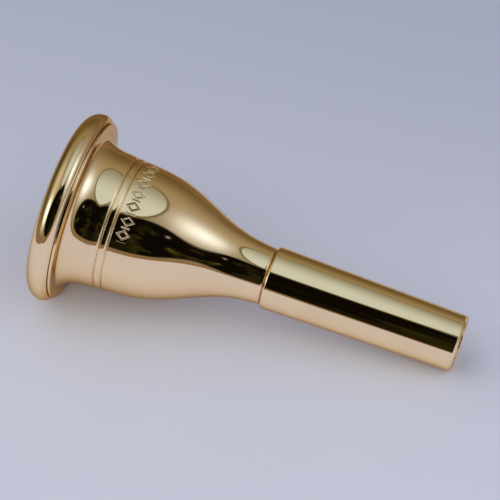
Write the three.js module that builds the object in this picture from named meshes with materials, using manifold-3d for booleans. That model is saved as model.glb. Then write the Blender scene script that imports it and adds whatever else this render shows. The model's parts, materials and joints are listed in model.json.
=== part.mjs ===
// Low-brass mouthpiece that screws apart into a rim, a cup and a shank, with a sealing ring in each joint.
// Millimetres, +Z up. It lies on its side on z = 0, held up by the rim and by the end of the shank.
// Every profile is drawn as (radius, station). Stations run along the axis from the lip face to the tip.
import * as THREE from "three";
import { mergeVertices } from "three/addons/utils/BufferGeometryUtils.js";
import Module from "manifold-3d";

const wasm = await Module();
wasm.setup();

// Driving dimensions: the stations
const OVERALL_LENGTH = 96.5;
const WIDEST_STATION = 3.6; // of the rim's largest radius
const SEAM_STATION = 5.5; // where the rim meets the cup's flange
const FLANGE_BACK_STATION = 6.2; // the edge of the flange's rear face
const FLANGE_FOOT_STATION = 6.35; // where that face meets the flare
const NECK_STATION = 12.3; // the waist behind the flange
const GROOVE_STATIONS = [14.3, 16.1]; // the two turned lines round the cup
const SHOULDER_STATION = 51; // where the cup meets the shank
const THROAT_STATION = 44.7; // the bowl has narrowed to the throat here

// Driving dimensions: the radii
const RIM_RADIUS = 22.35;
const RIM_REAR_DEPTH = 2.6; // radial semi-axis of the rim's roundness behind its widest station
const RIM_REAR_LENGTH = 2.15; // axial semi-axis of the same roundness
const FLANGE_RADIUS = 20.9;
const FLANGE_FOOT_RADIUS = 18;
const FLARE_DEPTH = 2.8; // radial semi-axis of the hollow flare, if it ran on to a full quarter
const FLARE_LENGTH = 6.1; // axial semi-axis of the same flare
const NECK_RADIUS = 15.8;
const LINES_RADIUS = 15.6; // of the surface that carries the turned lines
const CUP_END_RADIUS = 6.65;
const SHANK_RADIUS = 7.32; // at the shoulder
const TIP_RADIUS = 6.62;
const TIP_BEVEL = 0.5;
const BOWL_RADIUS = 15.8; // inside the lip
const THROAT_RADIUS = 4.15;
const BACKBORE_EXIT_RADIUS = 5.5;

// The rim joint: a threaded collar on the cup goes up into a recess in the rim
const RIM_PITCH = 0.75;
const LEDGE_STATION = 1.4; // ceiling of the recess
const COLLAR_TOP_STATION = 2.6;
const COLLAR_RADIUS = 18; // root of the cup's thread

// The shank joint: a threaded spigot on the cup goes down into a socket in the shank
const SHANK_PITCH = 1.25;
const SPIGOT_RADIUS = 5.05; // root of the cup's thread
const SPIGOT_NECK_RADIUS = 4.75;
const SPIGOT_END_STATION = 59;
const THREAD_START_STATION = 53; // both threads of this joint begin below the seal
const COUNTERBORE_RADIUS = 6.15; // of the seat for the seal in the shank's mouth

// Common to both joints
const THREAD_HEIGHT = 0.4;
const THREAD_CLEARANCE = 0.2; // between crest and root
const SEAM_GAP = 0.3; // between pieces that touch
const RIM_SEAL_THICKNESS = 0.6;
const SHANK_SEAL_THICKNESS = 1.2;
const LEAD_IN = 0.3; // bevel at the end of each threaded spigot

const SEGMENTS = 36; // facets round every piece
const HALF_FACET = Math.PI / SEGMENTS;

// Points on part of an ellipse, between two angles in degrees: 0 points outwards, 90 towards the tip
function arc(radius, station, radialSize, axialSize, fromAngle, toAngle, steps) {
  const points = [];
  for (let i = 0; i <= steps; i++) {
    const angle = THREE.MathUtils.degToRad(THREE.MathUtils.lerp(fromAngle, toAngle, i / steps));
    points.push([radius + radialSize * Math.cos(angle), station + axialSize * Math.sin(angle)]);
  }
  return points;
}

// Points on a smooth line through a few knots
function throughKnots(knots, steps) {
  const curve = new THREE.SplineCurve(knots.map(([radius, station]) => new THREE.Vector2(radius, station)));
  return curve.getPoints(steps).map((point) => [point.x, point.y]);
}

// A ring turned from a closed profile, which may run either way round
function turned(profile) {
  const points = profile.map(([radius, station]) => new THREE.Vector2(radius, station));
  if (THREE.ShapeUtils.area(points) < 0) points.reverse();
  points.push(points[0]);
  return new THREE.LatheGeometry(points, SEGMENTS, HALF_FACET);
}

// A right-handed helix round the axis, whose frames keep one side of the swept section facing outwards
class ThreadPath extends THREE.Curve {
  constructor(radius, pitch, phase, from, to) {
    super();
    Object.assign(this, { radius, pitch, phase, from, to });
  }
  angleAt(t) {
    const station = this.from + (this.to - this.from) * t;
    return (2 * Math.PI * (station - this.phase)) / this.pitch;
  }
  getPoint(t, target = new THREE.Vector3()) {
    const angle = this.angleAt(t);
    const station = this.from + (this.to - this.from) * t;
    return target.set(this.radius * Math.sin(angle), station, this.radius * Math.cos(angle));
  }
  computeFrenetFrames(steps) {
    const frames = { tangents: [], normals: [], binormals: [] };
    for (let i = 0; i <= steps; i++) {
      const angle = this.angleAt(i / steps);
      const outwards = new THREE.Vector3(Math.sin(angle), 0, Math.cos(angle));
      const towardsLip = new THREE.Vector3(0, -1, 0);
      frames.normals.push(outwards);
      frames.binormals.push(towardsLip);
      frames.tangents.push(new THREE.Vector3().crossVectors(outwards, towardsLip));
    }
    return frames;
  }
}

// A thread's ridge, V-shaped in section: outwards from a spigot (side 1), or inwards from a socket (side -1)
function threadRidge(wallRadius, side, pitch, phase, from, to) {
  const rooted = 0.15; // how far the ridge reaches into the wall it grows from
  const halfWidth = 0.27;
  const foot = halfWidth * (1 + rooted / THREAD_HEIGHT);
  const section = new THREE.Shape([
    new THREE.Vector2(-side * rooted, -foot),
    new THREE.Vector2(side * THREAD_HEIGHT, 0),
    new THREE.Vector2(-side * rooted, foot),
  ]);
  const turns = (to - from) / pitch;
  const path = new ThreadPath(wallRadius, pitch, phase, from, to);
  const steps = Math.round(turns * SEGMENTS);
  return new THREE.ExtrudeGeometry(section, { extrudePath: path, steps, bevelEnabled: false });
}

// A geometry as a solid that can be joined with others
function toSolid(geometry) {
  const bare = geometry.clone();
  bare.deleteAttribute("normal");
  bare.deleteAttribute("uv");
  const merged = mergeVertices(bare);
  return new wasm.Manifold(
    new wasm.Mesh({
      numProp: 3,
      vertProperties: merged.attributes.position.array,
      triVerts: new Uint32Array(merged.index.array),
    }),
  );
}

function toGeometry(solid) {
  const mesh = solid.getMesh();
  const geometry = new THREE.BufferGeometry();
  geometry.setAttribute("position", new THREE.BufferAttribute(mesh.vertProperties, 3));
  geometry.setIndex(new THREE.BufferAttribute(mesh.triVerts, 1));
  geometry.computeVertexNormals();
  return geometry;
}

function joined(geometry, ...ridges) {
  let solid = toSolid(geometry);
  for (const ridge of ridges) solid = solid.add(toSolid(ridge));
  return toGeometry(solid);
}

const goldPlate = new THREE.MeshStandardMaterial({ color: 0xe2b86a, roughness: 0.08, metalness: 1 });
const sealRubber = new THREE.MeshStandardMaterial({ color: 0x1c1c1e, roughness: 0.6, metalness: 0 });

// The rim: a rounded ring with a threaded recess in its underside
function rim() {
  const biteDepth = 1.1; // of the roundness inside the lip
  const crestRadius = RIM_RADIUS - WIDEST_STATION;
  const underside = SEAM_STATION - SEAM_GAP / 2;
  const recessRadius = COLLAR_RADIUS + THREAD_HEIGHT + THREAD_CLEARANCE;
  const rearAngle = THREE.MathUtils.radToDeg(Math.asin((underside - WIDEST_STATION) / RIM_REAR_LENGTH));
  const profile = [
    [BOWL_RADIUS, LEDGE_STATION],
    [recessRadius, LEDGE_STATION],
    [recessRadius, underside],
    ...arc(RIM_RADIUS - RIM_REAR_DEPTH, WIDEST_STATION, RIM_REAR_DEPTH, RIM_REAR_LENGTH, rearAngle, 0, 4),
    ...arc(crestRadius, WIDEST_STATION, WIDEST_STATION, WIDEST_STATION, -15, -90, 5),
    ...arc(crestRadius, biteDepth, crestRadius - BOWL_RADIUS, biteDepth, -110, -180, 3),
  ];
  const threadStart = LEDGE_STATION + RIM_PITCH;
  const threadEnd = underside - RIM_PITCH / 3;
  const ridge = threadRidge(recessRadius, -1, RIM_PITCH, RIM_PITCH / 2, threadStart, threadEnd);
  return joined(turned(profile), ridge);
}

// The turned lines: two fine grooves with a slightly raised band between them
function turnedLines() {
  const halfWidth = 0.3;
  const bottom = LINES_RADIUS - 0.3;
  const band = LINES_RADIUS + 0.05;
  const [first, second] = GROOVE_STATIONS;
  return [
    [LINES_RADIUS, first - halfWidth],
    [bottom, first],
    [band, first + halfWidth],
    [band, second - halfWidth],
    [bottom, second],
    [LINES_RADIUS - 0.2, second + halfWidth],
  ];
}

// The cup: flange, waist, turned lines and funnel outside, a funnel-shaped bowl and the throat inside
function cup() {
  const flangeTop = SEAM_STATION + SEAM_GAP / 2;
  const flangeBevel = 0.15;
  const footAngle = THREE.MathUtils.radToDeg(Math.asin((FLANGE_FOOT_STATION - NECK_STATION) / FLARE_LENGTH));
  const shoulder = SHOULDER_STATION - SEAM_GAP / 2;
  const funnelKnots = [
    [15.35, 17.3],
    [15.15, 21],
    [14.25, 25.4],
    [12.9, 29.9],
    [10.95, 34.5],
    [8.95, 38.9],
    [7.6, 43.5],
    [6.88, 47.5],
    [CUP_END_RADIUS, shoulder - LEAD_IN],
  ];
  const bowl = new THREE.CubicBezierCurve(
    new THREE.Vector2(THROAT_RADIUS, THROAT_STATION),
    new THREE.Vector2(9.5, 27.2),
    new THREE.Vector2(15.1, 13.2),
    new THREE.Vector2(BOWL_RADIUS, COLLAR_TOP_STATION),
  );
  const profile = [
    [COLLAR_RADIUS - LEAD_IN, COLLAR_TOP_STATION],
    [COLLAR_RADIUS, COLLAR_TOP_STATION + LEAD_IN],
    [COLLAR_RADIUS, flangeTop],
    [FLANGE_RADIUS, flangeTop],
    [FLANGE_RADIUS, FLANGE_BACK_STATION - flangeBevel],
    [FLANGE_RADIUS - flangeBevel, FLANGE_BACK_STATION],
    [FLANGE_FOOT_RADIUS, FLANGE_FOOT_STATION],
    ...arc(NECK_RADIUS + FLARE_DEPTH, NECK_STATION, FLARE_DEPTH, FLARE_LENGTH, -180 - footAngle, -180, 6),
    ...turnedLines(),
    ...throughKnots(funnelKnots, 14),
    [CUP_END_RADIUS - LEAD_IN, shoulder],
    [SPIGOT_NECK_RADIUS, shoulder],
    [SPIGOT_NECK_RADIUS, THREAD_START_STATION - LEAD_IN],
    [SPIGOT_RADIUS, THREAD_START_STATION],
    [SPIGOT_RADIUS, SPIGOT_END_STATION - LEAD_IN],
    [SPIGOT_RADIUS - LEAD_IN, SPIGOT_END_STATION],
    [THROAT_RADIUS, SPIGOT_END_STATION],
    ...bowl.getPoints(12).map((point) => [point.x, point.y]),
  ];
  const collarThread = threadRidge(
    COLLAR_RADIUS, 1, RIM_PITCH, 0,
    COLLAR_TOP_STATION + RIM_PITCH / 2, flangeTop - RIM_PITCH / 2,
  );
  const spigotThread = threadRidge(
    SPIGOT_RADIUS, 1, SHANK_PITCH, 0,
    THREAD_START_STATION + SHANK_PITCH / 2, SPIGOT_END_STATION - SHANK_PITCH,
  );
  return joined(turned(profile), collarThread, spigotThread);
}

// The shank: a tapered sleeve with the threaded socket at its mouth and the backbore behind it
function shank() {
  const mouth = SHOULDER_STATION + SEAM_GAP / 2;
  const mouthRound = 0.8;
  const counterboreEnd = THREAD_START_STATION - LEAD_IN;
  const socketRadius = SPIGOT_RADIUS + THREAD_HEIGHT + THREAD_CLEARANCE;
  const socketEnd = SPIGOT_END_STATION + SEAM_GAP;
  const profile = [
    [COUNTERBORE_RADIUS, mouth],
    [COUNTERBORE_RADIUS, counterboreEnd],
    [socketRadius, counterboreEnd],
    [socketRadius, socketEnd],
    [THROAT_RADIUS, socketEnd],
    [BACKBORE_EXIT_RADIUS, OVERALL_LENGTH],
    [TIP_RADIUS - TIP_BEVEL, OVERALL_LENGTH],
    [TIP_RADIUS, OVERALL_LENGTH - TIP_BEVEL],
    ...arc(SHANK_RADIUS - mouthRound, mouth + mouthRound, mouthRound, mouthRound, 0, -90, 4),
  ];
  const ridge = threadRidge(
    socketRadius, -1, SHANK_PITCH, SHANK_PITCH / 2,
    THREAD_START_STATION + SHANK_PITCH / 2, SPIGOT_END_STATION - SHANK_PITCH / 2,
  );
  return joined(turned(profile), ridge);
}

// A sealing ring of rectangular section with its corners broken
function seal(innerRadius, outerRadius, station, thickness) {
  const corner = 0.2;
  return turned([
    [innerRadius, station],
    [outerRadius - corner, station],
    [outerRadius, station + corner],
    [outerRadius, station + thickness - corner],
    [outerRadius - corner, station + thickness],
    [innerRadius, station + thickness],
  ]);
}

// The seal between the rim's ledge and the end of the cup's collar
function rimSeal() {
  return seal(BOWL_RADIUS + SEAM_GAP / 2, COLLAR_RADIUS, LEDGE_STATION + SEAM_GAP, RIM_SEAL_THICKNESS);
}

// The seal round the spigot's neck, in the counterbore of the shank
function shankSeal() {
  const innerRadius = SPIGOT_NECK_RADIUS + SEAM_GAP;
  const outerRadius = COUNTERBORE_RADIUS - SEAM_GAP;
  return seal(innerRadius, outerRadius, SHOULDER_STATION + SEAM_GAP, SHANK_SEAL_THICKNESS);
}

const pieces = {
  rim: [rim(), goldPlate],
  rim_seal: [rimSeal(), sealRubber],
  cup: [cup(), goldPlate],
  shank_seal: [shankSeal(), sealRubber],
  shank: [shank(), goldPlate],
};

// How far the axis tilts, tip down, for the rim's round edge and the shank's tip to rest on one plane.
// The plane touches an ellipse behind the rim's widest ring, so the tilt's tangent solves a quadratic.
function restingTilt() {
  const flat = Math.cos(HALF_FACET);
  const along = OVERALL_LENGTH - TIP_BEVEL - WIDEST_STATION;
  const inwards = (RIM_RADIUS - RIM_REAR_DEPTH - TIP_RADIUS) * flat;
  const a = along ** 2 - RIM_REAR_LENGTH ** 2;
  const b = along * inwards;
  const c = inwards ** 2 - (RIM_REAR_DEPTH * flat) ** 2;
  return Math.atan((b + Math.sqrt(b ** 2 - a * c)) / a);
}

// Stations run along +Z inside this group, and the lathe's facets lie with one flat side down
const upright = new THREE.Group();
upright.rotation.x = Math.PI / 2;
for (const [name, [geometry, material]] of Object.entries(pieces)) {
  const mesh = new THREE.Mesh(geometry, material);
  mesh.name = name;
  upright.add(mesh);
}

const lying = new THREE.Group();
lying.rotation.y = Math.PI / 2 + restingTilt();
lying.add(upright);

const mouthpiece = new THREE.Group();
mouthpiece.add(lying);
mouthpiece.updateMatrixWorld(true);
const box = new THREE.Box3().setFromObject(mouthpiece, true);
const middle = box.getCenter(new THREE.Vector3());
lying.position.set(-middle.x, -middle.y, -box.min.z);

export default mouthpiece;
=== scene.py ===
# The mouthpiece's visual model: three gold-plated turned pieces with their threads, and two sealing rings.
# Profiles are drawn in millimetres as (radius, station). Stations run along the axis, from lip face to tip.
import json
import math

import bpy
from mathutils import Matrix, Vector


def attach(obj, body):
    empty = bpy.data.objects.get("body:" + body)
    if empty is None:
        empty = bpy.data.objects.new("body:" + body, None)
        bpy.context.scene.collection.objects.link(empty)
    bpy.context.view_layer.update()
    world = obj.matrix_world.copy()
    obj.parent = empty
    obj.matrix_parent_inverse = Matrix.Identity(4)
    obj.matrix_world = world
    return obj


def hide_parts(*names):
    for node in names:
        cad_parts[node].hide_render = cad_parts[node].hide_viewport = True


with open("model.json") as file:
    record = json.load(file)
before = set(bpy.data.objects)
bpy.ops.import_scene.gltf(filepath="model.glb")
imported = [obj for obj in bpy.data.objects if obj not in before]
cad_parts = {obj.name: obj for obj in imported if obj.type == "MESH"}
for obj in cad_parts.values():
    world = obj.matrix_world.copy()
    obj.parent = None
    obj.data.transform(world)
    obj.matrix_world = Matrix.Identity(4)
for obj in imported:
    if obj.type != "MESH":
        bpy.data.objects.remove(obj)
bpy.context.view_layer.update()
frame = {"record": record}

MM = 0.001

# Stations and radii, in millimetres
OVERALL_LENGTH = 96.5
WIDEST_STATION = 3.6
SEAM_STATION = 5.5
FLANGE_BACK_STATION = 6.2
FLANGE_FOOT_STATION = 6.35
NECK_STATION = 12.3
GROOVE_STATIONS = (14.3, 16.1)
SHOULDER_STATION = 51
THROAT_STATION = 44.7
RIM_RADIUS = 22.35
RIM_REAR_SIZE = (2.6, 2.15)  # radial and axial semi-axes behind the widest ring
FLANGE_RADIUS = 20.9
FLANGE_FOOT_RADIUS = 18
FLARE_SIZE = (2.8, 6.1)  # radial and axial semi-axes of the hollow flare, if it ran on to a full quarter
NECK_RADIUS = 15.8
LINES_RADIUS = 15.5
CUP_END_RADIUS = 6.6
SHANK_RADIUS = 7.3
TIP_RADIUS = 6.55
BOWL_RADIUS = 15.8
THROAT_RADIUS = 4.15
BACKBORE_EXIT_RADIUS = 5.5
LEDGE_STATION = 1.4
COLLAR_TOP_STATION = 2.6
COLLAR_RADIUS = 18
RIM_PITCH = 0.75
SPIGOT_RADIUS = 5.05
SPIGOT_NECK_RADIUS = 4.75
SPIGOT_END_STATION = 59
THREAD_START_STATION = 53
COUNTERBORE_RADIUS = 6.15
SHANK_PITCH = 1.25
THREAD_HEIGHT = 0.4
THREAD_CLEARANCE = 0.2
RECESS_RADIUS = COLLAR_RADIUS + THREAD_HEIGHT + THREAD_CLEARANCE
SOCKET_RADIUS = SPIGOT_RADIUS + THREAD_HEIGHT + THREAD_CLEARANCE
SEAM_GAP = 0.05  # the joints are closed tight at rest, with only a hairline showing

RIM_SEAL_THICKNESS = 0.6
SHANK_SEAL_THICKNESS = 1.2
SEAL_CLEARANCE = 0.3  # between a seal and the metal that would squeeze it

# The engraved band of lozenges and bars behind the second turned line
BAND_STATION = 18.9
BAND_HALF_HEIGHT = 1.6
BAND_FROM = -28  # degrees round the axis, from straight up towards the near side
BAND_TO = 60
LOZENGES = 7
LOZENGE_HALF_WIDTH = 0.3  # as a share of the spacing
BAR_HALF_LENGTH = 0.6  # as a share of the lozenge's half height
ENGRAVING_DEPTH = 0.13
ENGRAVING_HALF_WIDTH = 0.22  # of each engraved line, from its middle to the untouched surface
ENGRAVING_WALL = 0.15  # of that half width, taken up by the sloping wall

# Where the mesh is fine or coarse
SEGMENTS = 320  # round each turned piece but the cup
FINE_ANGLE = 0.42  # degrees round the cup, across the engraved band
COARSE_ANGLE = 2.25  # degrees round the rest of the cup
FUNNEL_START = 16.9
FUNNEL_END = 50.7
FUNNEL_STEPS = 360  # rows of points, all of them kept across the engraved band
COARSE_ROW = 6  # elsewhere on the funnel, one row in this many is kept
SHARP_ANGLE = 32  # degrees between faces, above which an edge shows as a crease

# The studio. All its colours are linear red, green and blue.
PANEL_HALF_SIZE = (0.46, 0.70)  # of the overhead panel, for each unit of height
PANEL_SHIFT = 0.2  # of its centre towards the back
# The lights that the gold mirrors: azimuth, elevation and spread in degrees, azimuth 0 being the front
TIP_LIGHT = (92, 36, 17)
TIP_HALO = (100, 30, 42)
LEFT_WINDOW = (-53, 23, 13)
LEFT_HALO = (-78, 48, 24)
LAMP = (46, 37, 1.6)  # a small one in the dark room in front
# What lights the paper: a soft light from all round, and two broad ones at the front left and right
SOFT_LIGHT = (0.45, 0.465, 0.65)
KEY_LIGHT = (1.52, 1.54, 1.44)
KEY_AZIMUTH = 50
KEY_ELEVATION = 42
KEY_SPREAD = 38
HORIZON_COLOR = (0.462, 0.497, 0.604)  # what the lit far paper looks like
FLOOR_HALF_SIDE = 3  # metres, like the table's edges and lift
TABLE_EDGES = (-0.17, -0.30, 0.6, 0.10)  # west, south, east and north
TABLE_LIFT = 0.00005  # keeps the table from sharing the floor's plane
# Paper colours. Each paper's colour behind the mouthpiece is darker: painted shade, not a different paper.
PAPER_NEAR = (0.66, 0.665, 0.74)
PAPER_PAINTED_SHADE_BEHIND = (0.43, 0.45, 0.525)
PAPER_FARTHEST = (0.583, 0.606, 0.69)
TABLE_NEAR = (0.74, 0.74, 0.91)
TABLE_PAINTED_SHADE_BEHIND = (0.70, 0.70, 0.84)

# The pieces' colours
GOLD = (1.0, 0.775, 0.45)
WORN_GOLD = (0.965, 0.735, 0.42)
TARNISHED_GOLD = (0.62, 0.40, 0.17)
GOLD_EDGE_TINT = (0.65, 0.5, 0.33, 1)  # browner than gold, where the surface turns away
RUBBER = (0.016, 0.016, 0.017)
DUSTY_RUBBER = (0.055, 0.053, 0.05)
FINE_RELIEF = 0.00002  # metres, of scratches and pebble

CAMERA_AZIMUTH = math.radians(18.3)
CAMERA_ELEVATION = math.radians(41.3)
CAMERA_DISTANCE = 0.6765
CAMERA_LENS = 216
AIM_STATION = 46.4  # of the axis point below the picture's centre
AIM_RISE = 4.5  # from that point up to the picture's centre, in millimetres

# ---------------------------------------------------------------- the axis, from the frame's joints
joints = {joint["name"]: joint for joint in frame["record"]["behaviour"]["joints"]}
towards_tip = -Vector(joints["cup_turn"]["axis"]).normalized()
lip_centre = Vector(joints["rim_turn"]["pos_m"]) - towards_tip * SEAM_STATION * MM
above = towards_tip.cross(Vector((0, 1, 0)))
across = towards_tip.cross(above)
on_axis = Matrix.Translation(lip_centre) @ Matrix((above, across, towards_tip)).transposed().to_4x4()


def point_on_axis(station):
    return lip_centre + towards_tip * station * MM


# ---------------------------------------------------------------- outlines
def arc(radius, station, radial_size, axial_size, from_angle, to_angle, steps):
    """Points on part of an ellipse, between two angles in degrees: 0 points outwards, 90 towards the tip."""
    points = []
    for i in range(steps + 1):
        angle = math.radians(from_angle + (to_angle - from_angle) * i / steps)
        points.append((radius + radial_size * math.cos(angle), station + axial_size * math.sin(angle)))
    return points


def natural_spline(knots, steps):
    """Points on the smoothest curve through a few (radius, station) knots, evenly spaced in station."""
    xs = [station for _, station in knots]
    ys = [radius for radius, _ in knots]
    count = len(knots)
    gaps = [xs[i + 1] - xs[i] for i in range(count - 1)]
    upper = [0.0] * count
    bends = [0.0] * count
    for i in range(1, count - 1):
        slope_change = (ys[i + 1] - ys[i]) / gaps[i] - (ys[i] - ys[i - 1]) / gaps[i - 1]
        pivot = 2 * (gaps[i - 1] + gaps[i]) - gaps[i - 1] * upper[i - 1]
        upper[i] = gaps[i] / pivot
        bends[i] = (6 * slope_change - gaps[i - 1] * bends[i - 1]) / pivot
    for i in range(count - 2, 0, -1):
        bends[i] -= upper[i] * bends[i + 1]
    points = []
    for step in range(steps + 1):
        x = xs[0] + (xs[-1] - xs[0]) * step / steps
        i = max(k for k in range(count - 1) if xs[k] <= x)
        gap = gaps[i]
        left = (xs[i + 1] - x) / gap
        right = (x - xs[i]) / gap
        curved = (left**3 - left) * bends[i] + (right**3 - right) * bends[i + 1]
        points.append((left * ys[i] + right * ys[i + 1] + curved * gap * gap / 6, x))
    return points


def straight(start, end, steps):
    """Points along a straight stretch, both ends included."""
    points = []
    for i in range(steps + 1):
        share = i / steps
        points.append(tuple(a + (b - a) * share for a, b in zip(start, end)))
    return points


def bezier(p0, p1, p2, p3, steps):
    """Points on a cubic curve from p0 to p3, drawn towards p1 and p2."""
    points = []
    for i in range(steps + 1):
        t = i / steps
        weights = ((1 - t) ** 3, 3 * t * (1 - t) ** 2, 3 * t * t * (1 - t), t**3)
        points.append(tuple(sum(w * p[k] for w, p in zip(weights, (p0, p1, p2, p3))) for k in (0, 1)))
    return points


# ---------------------------------------------------------------- turned meshes
EVEN_ANGLES = [2 * math.pi * i / SEGMENTS for i in range(SEGMENTS)]


def turned(name, profile, reliefs=(), angles=EVEN_ANGLES):
    """A ring turned from a closed profile. Each relief raises or lowers the turned surface a little.

    Faces inside the bowl, bore and sockets take the second material.
    """
    columns = len(angles)
    vertices = []
    for radius, station in profile:
        for angle in angles:
            r = radius + sum(relief(radius, station, angle) for relief in reliefs)
            vertices.append((r * math.cos(angle) * MM, r * math.sin(angle) * MM, station * MM))
    faces = []
    for row in range(len(profile)):
        here = row * columns
        there = (row + 1) % len(profile) * columns
        for column in range(columns):
            after = (column + 1) % columns
            faces.append((here + column, here + after, there + after, there + column))
    mesh = bpy.data.meshes.new(name)
    mesh.from_pydata(vertices, [], faces)
    mesh.validate()
    bored_from = (LEDGE_STATION - 0.2) * MM
    facing_in = -0.2
    for face in mesh.polygons:
        inwards = face.normal.xy.dot(face.center.xy) < facing_in * face.center.xy.length
        face.material_index = int(inwards and face.center.z > bored_from)
    mesh.transform(on_axis)
    mesh.shade_smooth()
    mesh.set_sharp_from_angle(angle=math.radians(SHARP_ANGLE))
    piece = bpy.data.objects.new(name, mesh)
    bpy.context.scene.collection.objects.link(piece)
    return piece


def engraved_band(radius, station, angle):
    """Depth of the engraving: outlined lozenges with a short bar between neighbours."""
    height = station - BAND_STATION
    turn = math.degrees((angle + math.pi) % (2 * math.pi) - math.pi)
    if radius < LINES_RADIUS - 1 or abs(height) > BAND_HALF_HEIGHT or not BAND_FROM < turn < BAND_TO:
        return 0.0
    spacing = (BAND_TO - BAND_FROM) / LOZENGES
    around = ((turn - BAND_FROM) % spacing) / spacing - 0.5
    millimetres = math.radians(spacing) * LINES_RADIUS
    along = around * millimetres
    half_width = LOZENGE_HALF_WIDTH * millimetres
    edge_margin = 0.25
    half_height = BAND_HALF_HEIGHT - edge_margin
    slant = half_width * half_height / math.hypot(half_width, half_height)
    to_lozenge = abs(abs(along) / half_width + abs(height) / half_height - 1) * slant
    to_bar = max(millimetres / 2 - abs(along), abs(height) - BAR_HALF_LENGTH * half_height)
    distance = min(to_lozenge, to_bar)
    share = min(1.0, max(0.0, (ENGRAVING_HALF_WIDTH - distance) / ENGRAVING_WALL))
    return -ENGRAVING_DEPTH * share * share * (3 - 2 * share)


def cup_angles():
    """Angles round the cup, close together only across the engraved band."""
    margin = 1.0
    angles = []
    turn = BAND_FROM - margin
    last = turn + 360 - COARSE_ANGLE / 2
    while turn < last:
        angles.append(math.radians(turn))
        turn += FINE_ANGLE if turn < BAND_TO + margin else COARSE_ANGLE
    return angles


def thread(wall_radius, side, pitch, phase, start, end):
    """A right-handed thread on that wall: outwards on a spigot (side 1), inwards in a socket (side -1)."""
    same_radius = 1e-6
    steepness = 2.4

    def lift(radius, station, angle):
        if abs(radius - wall_radius) > same_radius or not start <= station <= end:
            return 0.0
        fade = min(1.0, (station - start) / pitch, (end - station) / pitch)
        place = ((station - phase) / pitch - angle / (2 * math.pi)) % 1.0
        ridge = max(0.0, 1 - abs(place - 0.5) * steepness)
        return side * THREAD_HEIGHT * fade * ridge

    return lift


def rim_profile():
    """The rim's closed outline: bite, crest, rounded back, underside and threaded recess."""
    bite = 1.1
    edge = 0.15
    crest = RIM_RADIUS - WIDEST_STATION
    underside = SEAM_STATION - SEAM_GAP / 2
    rear_radial, rear_axial = RIM_REAR_SIZE
    corner = 0.2
    rear_angle = math.degrees(math.asin((underside - corner - WIDEST_STATION) / rear_axial))
    rear = arc(RIM_RADIUS - rear_radial, WIDEST_STATION, rear_radial, rear_axial, 0, rear_angle, 16)
    return [
        *arc(crest, bite, crest - BOWL_RADIUS, bite, -180, -90, 14)[:-1],
        *arc(crest, WIDEST_STATION, WIDEST_STATION, WIDEST_STATION, -90, 0, 30)[:-1],
        *rear,
        *arc(rear[-1][0] - corner, underside - corner, corner, corner, 10, 90, 5),
        (RECESS_RADIUS + edge, underside),
        *straight((RECESS_RADIUS, underside - edge), (RECESS_RADIUS, LEDGE_STATION), 38),
        (BOWL_RADIUS, LEDGE_STATION),
    ]


def turned_line(station, radius_before, radius_after):
    """A shallow rounded groove."""
    half_width = 0.45
    depth = 0.24
    steps = 16
    points = []
    for i in range(steps + 1):
        along = 2 * i / steps - 1
        radius = radius_before + (radius_after - radius_before) * i / steps
        dip = depth * (0.5 + 0.5 * math.cos(math.pi * along))
        points.append((radius - dip, station + along * half_width))
    return points


def is_kept_row(station):
    """Whether the funnel keeps this row: all of them across the engraved band, and few elsewhere."""
    margin = 0.15
    index = round((station - FUNNEL_START) / (FUNNEL_END - FUNNEL_START) * FUNNEL_STEPS)
    return abs(station - BAND_STATION) < BAND_HALF_HEIGHT + margin or index % COARSE_ROW == 0


def cup_profile():
    """The cup's closed outline: collar, flange, flare, turned lines, funnel, spigot, throat and bowl."""
    flange_top = SEAM_STATION + SEAM_GAP / 2
    corner = 0.18
    foot = (FLANGE_FOOT_RADIUS, FLANGE_FOOT_STATION)
    flare_radial, flare_axial = FLARE_SIZE
    foot_angle = math.degrees(math.asin((FLANGE_FOOT_STATION - NECK_STATION) / flare_axial))
    first, second = GROOVE_STATIONS
    shoulder = SHOULDER_STATION - SEAM_GAP / 2
    lead_in = 0.3
    funnel_knots = (
        (LINES_RADIUS - 0.1, FUNNEL_START),
        (14.85, 22.7),
        (13.38, 28.7),
        (10.92, 34.7),
        (8.43, 40.7),
        (7.03, 46.7),
        (CUP_END_RADIUS, FUNNEL_END),
    )
    return [
        *straight((COLLAR_RADIUS, COLLAR_TOP_STATION + lead_in), (COLLAR_RADIUS, flange_top - 0.01), 24),
        (COLLAR_RADIUS + 0.01, flange_top),
        *arc(FLANGE_RADIUS - corner, flange_top + corner, corner, corner, -90, 0, 5),
        *arc(FLANGE_RADIUS - corner, FLANGE_BACK_STATION - corner, corner, corner, 0, 85, 6),
        (foot[0] + 0.05, foot[1] - 0.01),
        *arc(
            NECK_RADIUS + flare_radial, NECK_STATION, flare_radial, flare_axial,
            -180 - foot_angle, -180, 28,
        ),
        *turned_line(first, LINES_RADIUS + 0.1, LINES_RADIUS + 0.05),
        *turned_line(second, LINES_RADIUS, LINES_RADIUS - 0.08),
        *[point for point in natural_spline(funnel_knots, FUNNEL_STEPS) if is_kept_row(point[1])],
        (CUP_END_RADIUS - 0.15, shoulder - 0.05),
        (CUP_END_RADIUS - 0.25, shoulder),
        (SPIGOT_NECK_RADIUS, shoulder),
        (SPIGOT_NECK_RADIUS, THREAD_START_STATION - lead_in),
        *straight((SPIGOT_RADIUS, THREAD_START_STATION), (SPIGOT_RADIUS, SPIGOT_END_STATION - lead_in), 48),
        (SPIGOT_RADIUS - lead_in, SPIGOT_END_STATION),
        (THROAT_RADIUS, SPIGOT_END_STATION),
        *bezier(
            (THROAT_RADIUS, THROAT_STATION), (9.5, 27.2), (15.1, 13.2), (BOWL_RADIUS, COLLAR_TOP_STATION), 36,
        ),
        (COLLAR_RADIUS - lead_in, COLLAR_TOP_STATION),
    ]


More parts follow.
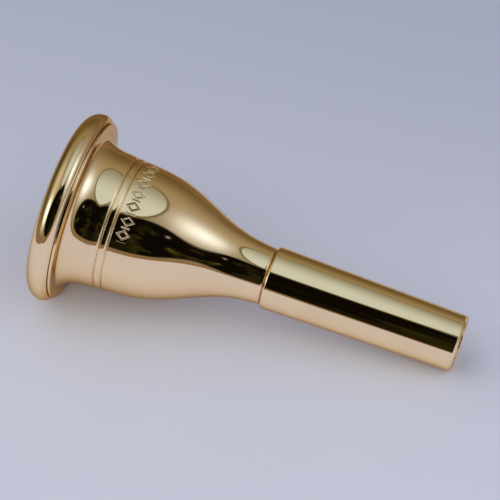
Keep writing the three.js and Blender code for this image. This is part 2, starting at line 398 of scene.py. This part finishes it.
def shank_profile():
    """The shank's closed outline: counterbore, mouth, taper, bevelled tip, backbore and threaded socket."""
    mouth = SHOULDER_STATION + SEAM_GAP / 2
    mouth_round = 0.8
    room = 0.3
    counterbore_end = THREAD_START_STATION - room
    socket_end = SPIGOT_END_STATION + room
    bevel = 0.5
    edge = 0.1
    return [
        (COUNTERBORE_RADIUS, counterbore_end),
        (COUNTERBORE_RADIUS, mouth + edge),
        (COUNTERBORE_RADIUS + edge, mouth),
        *arc(SHANK_RADIUS - mouth_round, mouth + mouth_round, mouth_round, mouth_round, -90, 0, 12),
        *arc(TIP_RADIUS - edge, OVERALL_LENGTH - bevel - edge, edge, edge, 0, 45, 3),
        *arc(TIP_RADIUS - bevel, OVERALL_LENGTH - edge, edge, edge, 45, 90, 3),
        (BACKBORE_EXIT_RADIUS + edge, OVERALL_LENGTH),
        (BACKBORE_EXIT_RADIUS, OVERALL_LENGTH - edge),
        (THROAT_RADIUS, socket_end),
        *straight((SOCKET_RADIUS, socket_end), (SOCKET_RADIUS, counterbore_end), 52),
    ]


def seal_profile(inner, outer, start, end):
    """A moulded ring of rounded section, with the mould's fine parting line round its outside."""
    corner = 0.26
    middle = (start + end) / 2
    line_width = 0.06
    line_height = 0.04
    profile = []
    for radius, station, angle in (
        (outer - corner, end - corner, 0), (inner + corner, end - corner, 90),
        (inner + corner, start + corner, 180), (outer - corner, start + corner, 270),
    ):
        profile += arc(radius, station, corner, corner, angle, angle + 90, 6)
    return profile + [
        (outer, middle - line_width / 2),
        (outer + line_height, middle),
        (outer, middle + line_width / 2),
    ]


def placed(piece, body, node, slot, *materials):
    """A piece that rides its body and stands for its node, with one material outside and one in the bores."""
    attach(piece, body)
    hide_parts(node)
    for material in materials:
        piece.data.materials.append(material)
    return piece


# ---------------------------------------------------------------- shader nodes
def add_node(tree, kind, inputs=None, **settings):
    """A node with its settings, and each input set to a value or linked to another node's output."""
    node = tree.nodes.new(kind)
    for name, value in settings.items():
        setattr(node, name, value)
    for key, value in (inputs or {}).items():
        if isinstance(value, bpy.types.NodeSocket):
            tree.links.new(value, node.inputs[key])
        else:
            node.inputs[key].default_value = value
    return node


def calculate(tree, operation, first, second=0.0):
    """A maths node's result. The second value stays unused where the operation takes one."""
    return add_node(tree, "ShaderNodeMath", {0: first, 1: second}, operation=operation).outputs[0]


def ramp_between(tree, value, start, end, low=0.0, high=1.0):
    """A smooth step from low to high as the value goes from start to end."""
    limits = {"From Min": start, "From Max": end, "To Min": low, "To Max": high}
    node = add_node(tree, "ShaderNodeMapRange", {"Value": value, **limits}, interpolation_type="SMOOTHSTEP")
    return node.outputs["Result"]


def blended(tree, factor, below, above):
    """The first colour where the factor is 0, and the second where it is 1."""
    node = add_node(tree, "ShaderNodeMix", data_type="RGBA")
    color_sockets = [socket for socket in node.inputs if socket.type == "RGBA"]
    for socket, value in ((node.inputs[0], factor), (color_sockets[0], below), (color_sockets[1], above)):
        if isinstance(value, bpy.types.NodeSocket):
            tree.links.new(value, socket)
        else:
            socket.default_value = value if socket.type == "VALUE" else (*value, 1)
    return next(socket for socket in node.outputs if socket.type == "RGBA")


def new_material(name):
    material = bpy.data.materials.new(name)
    material.use_nodes = True
    return material, material.node_tree, material.node_tree.nodes["Principled BSDF"]


def axis_coordinates(tree):
    """Coordinates in metres whose Z is the station along the axis, and whose X and Y lie across it."""
    position = add_node(tree, "ShaderNodeTexCoord").outputs["Object"]
    place, turn, _ = on_axis.decompose()
    mapping = add_node(tree, "ShaderNodeMapping", {"Vector": position}, vector_type="TEXTURE")
    mapping.inputs["Location"].default_value = place
    mapping.inputs["Rotation"].default_value = turn.to_euler()
    return mapping.outputs["Vector"]


# ---------------------------------------------------------------- materials
def near_station(tree, station, center, reach):
    """1 at that station in millimetres, falling to 0 at its reach on both sides."""
    away = calculate(tree, "ABSOLUTE", calculate(tree, "SUBTRACT", station, center * MM))
    return ramp_between(tree, away, 0.0, reach * MM, 1.0, 0.0)


def gold_material(name, roughest, relief_strength):
    """Gold plate with turning lines, hairline scratches, a haze of handling and tarnish beside the joints."""
    material, tree, shader = new_material(name)
    along = axis_coordinates(tree)
    station = add_node(tree, "ShaderNodeSeparateXYZ", {0: along}).outputs["Z"]
    shader.inputs["Metallic"].default_value = 1.0
    shader.inputs["Specular Tint"].default_value = GOLD_EDGE_TINT

    patches = add_node(tree, "ShaderNodeTexNoise", {"Vector": along, "Scale": 90.0, "Detail": 4.0})
    tone = ramp_between(tree, patches.outputs["Fac"], 0.35, 0.7)
    color = blended(tree, tone, GOLD, WORN_GOLD)
    tarnish = near_station(tree, station, SEAM_STATION + 0.2, 0.5)
    for center, reach in ((GROOVE_STATIONS[0], 0.35), (GROOVE_STATIONS[1], 0.35), (SHOULDER_STATION, 0.5)):
        tarnish = calculate(tree, "MAXIMUM", tarnish, near_station(tree, station, center, reach))
    stains = add_node(tree, "ShaderNodeTexNoise", {"Vector": along, "Scale": 700.0, "Detail": 3.0})
    stained = ramp_between(tree, stains.outputs["Fac"], 0.3, 0.65, 0.1, 0.4)
    tarnish = calculate(tree, "MULTIPLY", tarnish, stained)
    color = blended(tree, tarnish, color, TARNISHED_GOLD)
    tree.links.new(color, shader.inputs["Base Color"])

    haze = add_node(tree, "ShaderNodeTexNoise", {"Vector": along, "Scale": 260.0, "Detail": 5.0})
    roughness = ramp_between(tree, haze.outputs["Fac"], 0.3, 0.75, roughest * 0.45, roughest)
    roughness = calculate(tree, "ADD", roughness, calculate(tree, "MULTIPLY", tarnish, 0.15))
    tree.links.new(roughness, shader.inputs["Roughness"])

    ring_stretch = add_node(tree, "ShaderNodeMapping", {"Vector": along})
    ring_stretch.inputs["Scale"].default_value = (12, 12, 5200)
    ring_place = ring_stretch.outputs["Vector"]
    rings = add_node(tree, "ShaderNodeTexNoise", {"Vector": ring_place, "Scale": 1.0, "Detail": 2.0})
    scratch_stretch = add_node(tree, "ShaderNodeMapping", {"Vector": along})
    scratch_stretch.inputs["Rotation"].default_value = (0.5, 0.9, 0.3)
    scratch_stretch.inputs["Scale"].default_value = (60, 2600, 400)
    scratch_place = scratch_stretch.outputs["Vector"]
    scratches = add_node(tree, "ShaderNodeTexNoise", {"Vector": scratch_place, "Scale": 1.0, "Detail": 1.0})
    hairlines = ramp_between(tree, scratches.outputs["Fac"], 0.7, 0.76)
    height = calculate(tree, "SUBTRACT", rings.outputs["Fac"], calculate(tree, "MULTIPLY", hairlines, 0.5))
    relief = add_node(tree, "ShaderNodeBump", {"Height": height, "Strength": relief_strength})
    relief.inputs["Distance"].default_value = FINE_RELIEF
    tree.links.new(relief.outputs["Normal"], shader.inputs["Normal"])
    return material


def rubber_material():
    """Moulded black rubber: faintly mottled, with a satin skin and a fine pebble."""
    material, tree, shader = new_material("seal_rubber_moulded")
    along = axis_coordinates(tree)
    dust = add_node(tree, "ShaderNodeTexNoise", {"Vector": along, "Scale": 900.0, "Detail": 4.0})
    dusty = ramp_between(tree, dust.outputs["Fac"], 0.45, 0.75)
    color = blended(tree, dusty, RUBBER, DUSTY_RUBBER)
    tree.links.new(color, shader.inputs["Base Color"])
    skin = add_node(tree, "ShaderNodeTexNoise", {"Vector": along, "Scale": 350.0, "Detail": 3.0})
    tree.links.new(ramp_between(tree, skin.outputs["Fac"], 0.3, 0.7, 0.42, 0.68), shader.inputs["Roughness"])
    pebble = add_node(tree, "ShaderNodeTexVoronoi", {"Vector": along, "Scale": 9000.0})
    relief = add_node(tree, "ShaderNodeBump", {"Height": pebble.outputs["Distance"], "Strength": 0.3})
    relief.inputs["Distance"].default_value = FINE_RELIEF
    tree.links.new(relief.outputs["Normal"], shader.inputs["Normal"])
    return material


polished = gold_material("gold_plate_polished", 0.06, 0.05)
bored = gold_material("gold_plate_bored", 0.26, 0.35)
rubber = rubber_material()

# ---------------------------------------------------------------- the pieces
recess_thread = thread(
    RECESS_RADIUS, -1, RIM_PITCH, RIM_PITCH / 2, LEDGE_STATION + RIM_PITCH, SEAM_STATION - RIM_PITCH / 3,
)
collar_thread = thread(
    COLLAR_RADIUS, 1, RIM_PITCH, 0, COLLAR_TOP_STATION + RIM_PITCH / 2, SEAM_STATION - RIM_PITCH / 2,
)
spigot_thread = thread(
    SPIGOT_RADIUS, 1, SHANK_PITCH, 0,
    THREAD_START_STATION + SHANK_PITCH / 2, SPIGOT_END_STATION - SHANK_PITCH,
)
socket_thread = thread(
    SOCKET_RADIUS, -1, SHANK_PITCH, SHANK_PITCH / 2,
    THREAD_START_STATION + SHANK_PITCH / 2, SPIGOT_END_STATION - SHANK_PITCH / 2,
)
rim_mesh = turned("rim_turned", rim_profile(), [recess_thread])
cup_mesh = turned("cup_turned", cup_profile(), [collar_thread, spigot_thread, engraved_band], cup_angles())
shank_mesh = turned("shank_turned", shank_profile(), [socket_thread])
placed(rim_mesh, "rim", "rim", "gold_plate", polished, bored)
placed(cup_mesh, "cup", "cup", "gold_plate", polished, bored)
placed(shank_mesh, "shank", "shank", "gold_plate", polished, bored)

rim_seal_start = LEDGE_STATION + SEAL_CLEARANCE
rim_o_ring = turned(
    "rim_o_ring",
    seal_profile(BOWL_RADIUS + 0.15, COLLAR_RADIUS, rim_seal_start, rim_seal_start + RIM_SEAL_THICKNESS),
)
shank_seal_start = SHOULDER_STATION + SEAL_CLEARANCE
shank_o_ring = turned(
    "shank_o_ring",
    seal_profile(
        SPIGOT_NECK_RADIUS + SEAL_CLEARANCE, COUNTERBORE_RADIUS - SEAL_CLEARANCE,
        shank_seal_start, shank_seal_start + SHANK_SEAL_THICKNESS,
    ),
)
placed(rim_o_ring, "rim_seal", "rim_seal", "seal_rubber", rubber, rubber)
placed(shank_o_ring, "shank_seal", "shank_seal", "seal_rubber", rubber, rubber)

# ---------------------------------------------------------------- studio
def stage_sheet(name, west, south, east, north):
    """A flat sheet of the studio, not a part of the mouthpiece."""
    mesh = bpy.data.meshes.new(name)
    corners = [(west, south, 0), (east, south, 0), (east, north, 0), (west, north, 0)]
    mesh.from_pydata(corners, [], [(0, 1, 2, 3)])
    sheet = bpy.data.objects.new(name, mesh)
    bpy.context.scene.collection.objects.link(sheet)
    return sheet


def paper_material(name, near, painted_shade_behind, farthest):
    """The pale backdrop paper, darker behind the mouthpiece with painted shade, then even all the way out."""
    material, tree, shader = new_material(name)
    position = add_node(tree, "ShaderNodeTexCoord").outputs["Object"]
    depth = add_node(tree, "ShaderNodeSeparateXYZ", {0: position}).outputs["Y"]
    # painted shade: the paper's colour darkens from near the mouthpiece to behind it, where the light falls
    # off
    behind = ramp_between(tree, depth, -0.06, 0.16)
    base = blended(tree, behind, near, painted_shade_behind)
    distance = add_node(tree, "ShaderNodeVectorMath", {0: position}, operation="LENGTH").outputs["Value"]
    far_out = ramp_between(tree, distance, 0.25, 1.4)
    base = blended(tree, far_out, base, farthest)
    clouds = add_node(tree, "ShaderNodeTexNoise", {"Vector": position, "Scale": 14.0, "Detail": 3.0})
    mottle = ramp_between(tree, clouds.outputs["Fac"], 0.3, 0.7, 0.0, 0.06)
    base = blended(tree, mottle, base, (0.40, 0.40, 0.50))
    tree.links.new(base, shader.inputs["Base Color"])
    shader.inputs["Roughness"].default_value = 0.85
    shader.inputs["Specular IOR Level"].default_value = 0.1
    return material


# Both papers carry painted shade, darker behind the mouthpiece.
backdrop_paper = paper_material("backdrop_paper", PAPER_NEAR, PAPER_PAINTED_SHADE_BEHIND, PAPER_FARTHEST)
table_paper = paper_material("table_paper", TABLE_NEAR, TABLE_PAINTED_SHADE_BEHIND, TABLE_PAINTED_SHADE_BEHIND)
# The paper that the camera sees runs far out. The gold mirrors a small table instead, under paler paper.
floor = stage_sheet("floor", -FLOOR_HALF_SIDE, -FLOOR_HALF_SIDE, FLOOR_HALF_SIDE, FLOOR_HALF_SIDE)
floor.data.materials.append(backdrop_paper)
floor.visible_glossy = False
table = stage_sheet("table_top", *TABLE_EDGES)
table.data.materials.append(table_paper)
table.location.z = TABLE_LIFT
table.visible_camera = False
table.visible_diffuse = False
table.visible_shadow = False


def build_world():
    """The studio that the gold mirrors: a panel overhead, a glow beyond the tip and a dark room in front."""
    world = bpy.data.worlds.new("studio")
    world.use_nodes = True
    tree = world.node_tree
    tree.nodes.clear()
    direction = add_node(tree, "ShaderNodeTexCoord").outputs["Generated"]
    x, y, z = add_node(tree, "ShaderNodeSeparateXYZ", {0: direction}).outputs
    to_degrees = math.degrees(1)
    elevation = calculate(tree, "MULTIPLY", calculate(tree, "ARCSINE", z), to_degrees)
    towards_front = calculate(tree, "MULTIPLY", y, -1.0)
    azimuth = calculate(tree, "MULTIPLY", calculate(tree, "ARCTAN2", x, towards_front), to_degrees)

    def glow(center_azimuth, center_elevation, spread):
        """Bright at one direction, fading as a bell curve over that many degrees."""
        a, e = math.radians(center_azimuth), math.radians(center_elevation)
        center = (math.sin(a) * math.cos(e), -math.cos(a) * math.cos(e), math.sin(e))
        cosine = add_node(tree, "ShaderNodeVectorMath", {0: direction, 1: center}, operation="DOT_PRODUCT")
        away = calculate(tree, "ARCCOSINE", calculate(tree, "MINIMUM", cosine.outputs["Value"], 1.0))
        share = calculate(tree, "DIVIDE", away, math.radians(spread))
        fall = calculate(tree, "MULTIPLY", calculate(tree, "MULTIPLY", share, share), -1.0)
        return calculate(tree, "EXPONENT", fall)

    def rounded_window(center_azimuth, center_elevation, half_width, half_height, softness, power=2.6):
        """1 inside a rounded box of azimuth and elevation. A higher power squares its corners."""
        across = calculate(tree, "ABSOLUTE", calculate(tree, "SUBTRACT", azimuth, center_azimuth))
        upwards = calculate(tree, "ABSOLUTE", calculate(tree, "SUBTRACT", elevation, center_elevation))
        across = calculate(tree, "POWER", calculate(tree, "DIVIDE", across, half_width), power)
        upwards = calculate(tree, "POWER", calculate(tree, "DIVIDE", upwards, half_height), power)
        distance = calculate(tree, "ADD", across, upwards)
        return ramp_between(tree, distance, 1 - softness, 1 + softness, 1.0, 0.0)

    # The room itself: dim, brownest behind
    behind = ramp_between(tree, y, -0.2, 0.8)
    higher = ramp_between(tree, elevation, 10.0, 55.0)
    back_wall = blended(tree, higher, (0.15, 0.11, 0.05), (0.33, 0.27, 0.14))
    room = blended(tree, behind, (0.24, 0.22, 0.15), back_wall)
    low_left = rounded_window(-98, 8, 34, 26, 0.6, 2.0)
    room = blended(tree, low_left, room, (0.05, 0.05, 0.022))

    # The lights at the left and beyond the tip
    room = blended(tree, glow(*LEFT_HALO), room, (0.62, 0.56, 0.48))
    room = blended(tree, glow(*TIP_HALO), room, (0.44, 0.41, 0.38))
    room = blended(tree, glow(*TIP_LIGHT), room, (1.25, 1.50, 2.05))
    room = blended(tree, glow(*LEFT_WINDOW), room, (1.8, 2.0, 2.3))

    # The dark room in front, with dim shapes in it
    shapes = add_node(tree, "ShaderNodeTexNoise", {"Vector": direction, "Scale": 3.6, "Detail": 3.0})
    green = ramp_between(tree, shapes.outputs["Fac"], 0.5, 0.66)
    green = calculate(tree, "MULTIPLY", green, glow(36, 16, 24))
    dark = blended(tree, green, (0.004, 0.003, 0.002), (0.07, 0.075, 0.018))
    dark = blended(tree, glow(*LAMP), dark, (0.4, 0.4, 0.45))
    room = blended(tree, rounded_window(10, 32, 50, 31, 0.16), room, dark)

    # The brown edge between the table and the room
    band = ramp_between(tree, elevation, 2.0, 0.0)
    room = blended(tree, band, room, (0.24, 0.17, 0.11))

    # The overhead panel, an ellipse on a plane overhead with a thin dark frame, dimmer at the left and back
    height = calculate(tree, "MAXIMUM", z, 0.05)
    panel_x = calculate(tree, "DIVIDE", calculate(tree, "DIVIDE", x, height), PANEL_HALF_SIZE[0])
    from_centre = calculate(tree, "SUBTRACT", calculate(tree, "DIVIDE", y, height), PANEL_SHIFT)
    panel_y = calculate(tree, "DIVIDE", from_centre, PANEL_HALF_SIZE[1])
    x_squared = calculate(tree, "MULTIPLY", panel_x, panel_x)
    y_squared = calculate(tree, "MULTIPLY", panel_y, panel_y)
    radius = calculate(tree, "SQRT", calculate(tree, "ADD", x_squared, y_squared))
    frame_mask = ramp_between(tree, radius, 1.05, 1.15, 1.0, 0.0)
    room = blended(tree, frame_mask, room, (0.17, 0.15, 0.09))
    rightwards = ramp_between(tree, panel_x, -1.1, 0.0)
    panel_color = blended(tree, rightwards, (0.20, 0.22, 0.16), (0.60, 0.72, 0.86))
    panel_color = blended(tree, ramp_between(tree, panel_y, -0.5, 1.0), panel_color, (0.28, 0.29, 0.26))
    room = blended(tree, ramp_between(tree, radius, 0.97, 1.03, 1.0, 0.0), room, panel_color)

    rays = add_node(tree, "ShaderNodeLightPath")
    mirrored = add_node(tree, "ShaderNodeBackground", {"Color": room}).outputs[0]
    soft_light = blended(tree, glow(KEY_AZIMUTH, KEY_ELEVATION, KEY_SPREAD), SOFT_LIGHT, KEY_LIGHT)
    soft_light = blended(tree, glow(-KEY_AZIMUTH, KEY_ELEVATION, KEY_SPREAD), soft_light, KEY_LIGHT)
    dome = add_node(tree, "ShaderNodeBackground", {"Color": soft_light}).outputs[0]
    seen = add_node(tree, "ShaderNodeBackground", {"Color": (*HORIZON_COLOR, 1)}).outputs[0]
    lit = calculate(tree, "MINIMUM", rays.outputs["Diffuse Depth"], 1.0)
    light = add_node(tree, "ShaderNodeMixShader", {0: lit, 1: mirrored, 2: dome})
    by_camera = rays.outputs["Is Camera Ray"]
    mix = add_node(tree, "ShaderNodeMixShader", {0: by_camera, 1: light.outputs[0], 2: seen})
    add_node(tree, "ShaderNodeOutputWorld", {"Surface": mix.outputs[0]})
    return world


bpy.context.scene.world = build_world()
bpy.context.scene.view_settings.view_transform = "Standard"

# ---------------------------------------------------------------- camera
camera_back = Vector((
    math.sin(CAMERA_AZIMUTH) * math.cos(CAMERA_ELEVATION),
    -math.cos(CAMERA_AZIMUTH) * math.cos(CAMERA_ELEVATION),
    math.sin(CAMERA_ELEVATION),
))
camera_right = Vector((math.cos(CAMERA_AZIMUTH), math.sin(CAMERA_AZIMUTH), 0))
camera_up = camera_back.cross(camera_right)
camera_data = bpy.data.cameras.new("camera")
camera_data.sensor_width = 36
camera_data.lens = CAMERA_LENS
camera_data.clip_start = 0.01
camera_data.clip_end = 10
camera = bpy.data.objects.new("camera", camera_data)
aim = point_on_axis(AIM_STATION) + camera_up * AIM_RISE * MM
camera.matrix_world = (
    Matrix.Translation(aim + camera_back * CAMERA_DISTANCE)
    @ Matrix((camera_right, camera_up, camera_back)).transposed().to_4x4()
)
bpy.context.scene.collection.objects.link(camera)
bpy.context.scene.camera = camera
